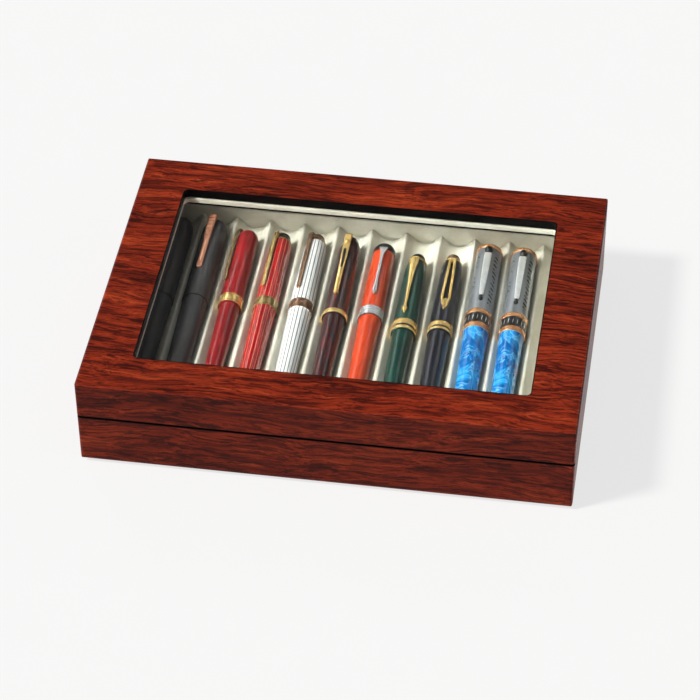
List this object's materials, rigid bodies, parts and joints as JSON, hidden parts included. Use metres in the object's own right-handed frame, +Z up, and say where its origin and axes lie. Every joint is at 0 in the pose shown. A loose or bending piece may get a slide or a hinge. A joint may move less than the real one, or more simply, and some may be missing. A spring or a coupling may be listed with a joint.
{
  "type": "fountain pen case",
  "caption": "Shallow wooden display case for fountain pens, with a hinged glazed lid and a velvet tray of parallel grooves, shown with pens lying in it.",
  "frame": {"origin": "centre of the wooden case's underside, on the surface it stands on", "axes": "+X along the length to the right seen from the front, +Y from the front to the hinges at the back, +Z up"},
  "size_m": [0.28, 0.2113, 0.059],
  "materials": {
    "rosewood": "red-brown figured veneer under gloss lacquer",
    "board": "plain sealed board",
    "felt": "short black felt",
    "ivory_velvet": "ivory velvet, short nap",
    "black_edge": "black edge, satin",
    "window_glass": "clear glass",
    "black_lining": "black flock",
    "hinge_brass": "lacquered brass",
    "pen_body_01": "matte black",
    "pen_trim_01": "rose gold",
    "pen_body_03": "deep red lacquer",
    "pen_trim_03": "old gold",
    "pen_body_04": "bright red lacquer with fine lines",
    "pen_trim_04": "old gold",
    "pen_body_05": "silver-plated with fine lines",
    "pen_trim_05": "brown-gold",
    "pen_body_06": "dark brown resin with red streaks",
    "pen_trim_06": "gold",
    "pen_body_07": "orange lacquer",
    "pen_trim_07": "chrome",
    "pen_body_08": "dark green resin",
    "pen_trim_08": "gold",
    "pen_body_09": "blue-black resin",
    "pen_trim_09": "gold",
    "pen_body_10": "gunmetal cap",
    "pen_barrel_10": "blue marbled resin, polished",
    "pen_trim_10": "copper and silver"
  },
  "bodies": {
    "base": {"base_front_wall": "rosewood", "base_back_wall": "rosewood", "base_left_wall": "rosewood", "base_right_wall": "rosewood", "base_bottom_board": "board", "felt_pad": "felt", "base_liner_boards": "ivory_velvet", "pen_tray": "ivory_velvet", "hinge_base_leaves": "hinge_brass", "hinge_pins": "hinge_brass", "hinge_base_screws": "hinge_brass"},
    "lid": {"lid_front_wall": "rosewood", "lid_back_wall": "rosewood", "lid_left_wall": "rosewood", "lid_right_wall": "rosewood", "lid_top_panel": "rosewood", "window_edge_band": "black_edge", "glass_pane": "window_glass", "glass_retainer": "ivory_velvet", "lid_lining_boards": "black_lining", "hinge_lid_leaves": "hinge_brass", "hinge_lid_screws": "hinge_brass"},
    "pen_01": {"pen_01_barrel": "pen_body_01", "pen_01_cap": "pen_body_01", "pen_01_trim": "pen_trim_01"},
    "pen_02": {"pen_02_barrel": "pen_body_01", "pen_02_cap": "pen_body_01", "pen_02_trim": "pen_trim_01"},
    "pen_03": {"pen_03_barrel": "pen_body_03", "pen_03_cap": "pen_body_03", "pen_03_trim": "pen_trim_03"},
    "pen_04": {"pen_04_barrel": "pen_body_04", "pen_04_cap": "pen_body_04", "pen_04_trim": "pen_trim_04"},
    "pen_05": {"pen_05_barrel": "pen_body_05", "pen_05_cap": "pen_body_05", "pen_05_trim": "pen_trim_05"},
    "pen_06": {"pen_06_barrel": "pen_body_06", "pen_06_cap": "pen_body_06", "pen_06_trim": "pen_trim_06"},
    "pen_07": {"pen_07_barrel": "pen_body_07", "pen_07_cap": "pen_body_07", "pen_07_trim": "pen_trim_07"},
    "pen_08": {"pen_08_barrel": "pen_body_08", "pen_08_cap": "pen_body_08", "pen_08_trim": "pen_trim_08"},
    "pen_09": {"pen_09_barrel": "pen_body_09", "pen_09_cap": "pen_body_09", "pen_09_trim": "pen_trim_09"},
    "pen_10": {"pen_10_barrel": "pen_barrel_10", "pen_10_cap": "pen_body_10", "pen_10_trim": "pen_trim_10"},
    "pen_11": {"pen_11_barrel": "pen_barrel_10", "pen_11_cap": "pen_body_10", "pen_11_trim": "pen_trim_10"}
  },
  "joints": [
    {"name": "lid_hinge", "type": "hinge", "parent": "base", "child": "lid", "pos_m": [0, 0.105, 0.035], "axis": [-1, 0, 0], "range_deg": [0, 95]},
    {"name": "pen_01_lift", "type": "slide", "parent": "base", "child": "pen_01", "axis": [0, 0, 1], "range_m": [0, 0.005]},
    {"name": "pen_02_lift", "type": "slide", "parent": "base", "child": "pen_02", "axis": [0, 0, 1], "range_m": [0, 0.005]},
    {"name": "pen_03_lift", "type": "slide", "parent": "base", "child": "pen_03", "axis": [0, 0, 1], "range_m": [0, 0.005]},
    {"name": "pen_04_lift", "type": "slide", "parent": "base", "child": "pen_04", "axis": [0, 0, 1], "range_m": [0, 0.005]},
    {"name": "pen_05_lift", "type": "slide", "parent": "base", "child": "pen_05", "axis": [0, 0, 1], "range_m": [0, 0.005]},
    {"name": "pen_06_lift", "type": "slide", "parent": "base", "child": "pen_06", "axis": [0, 0, 1], "range_m": [0, 0.005]},
    {"name": "pen_07_lift", "type": "slide", "parent": "base", "child": "pen_07", "axis": [0, 0, 1], "range_m": [0, 0.005]},
    {"name": "pen_08_lift", "type": "slide", "parent": "base", "child": "pen_08", "axis": [0, 0, 1], "range_m": [0, 0.005]},
    {"name": "pen_09_lift", "type": "slide", "parent": "base", "child": "pen_09", "axis": [0, 0, 1], "range_m": [0, 0.005]},
    {"name": "pen_10_lift", "type": "slide", "parent": "base", "child": "pen_10", "axis": [0, 0, 1], "range_m": [0, 0.005]},
    {"name": "pen_11_lift", "type": "slide", "parent": "base", "child": "pen_11", "axis": [0, 0, 1], "range_m": [0, 0.005]}
  ]
}
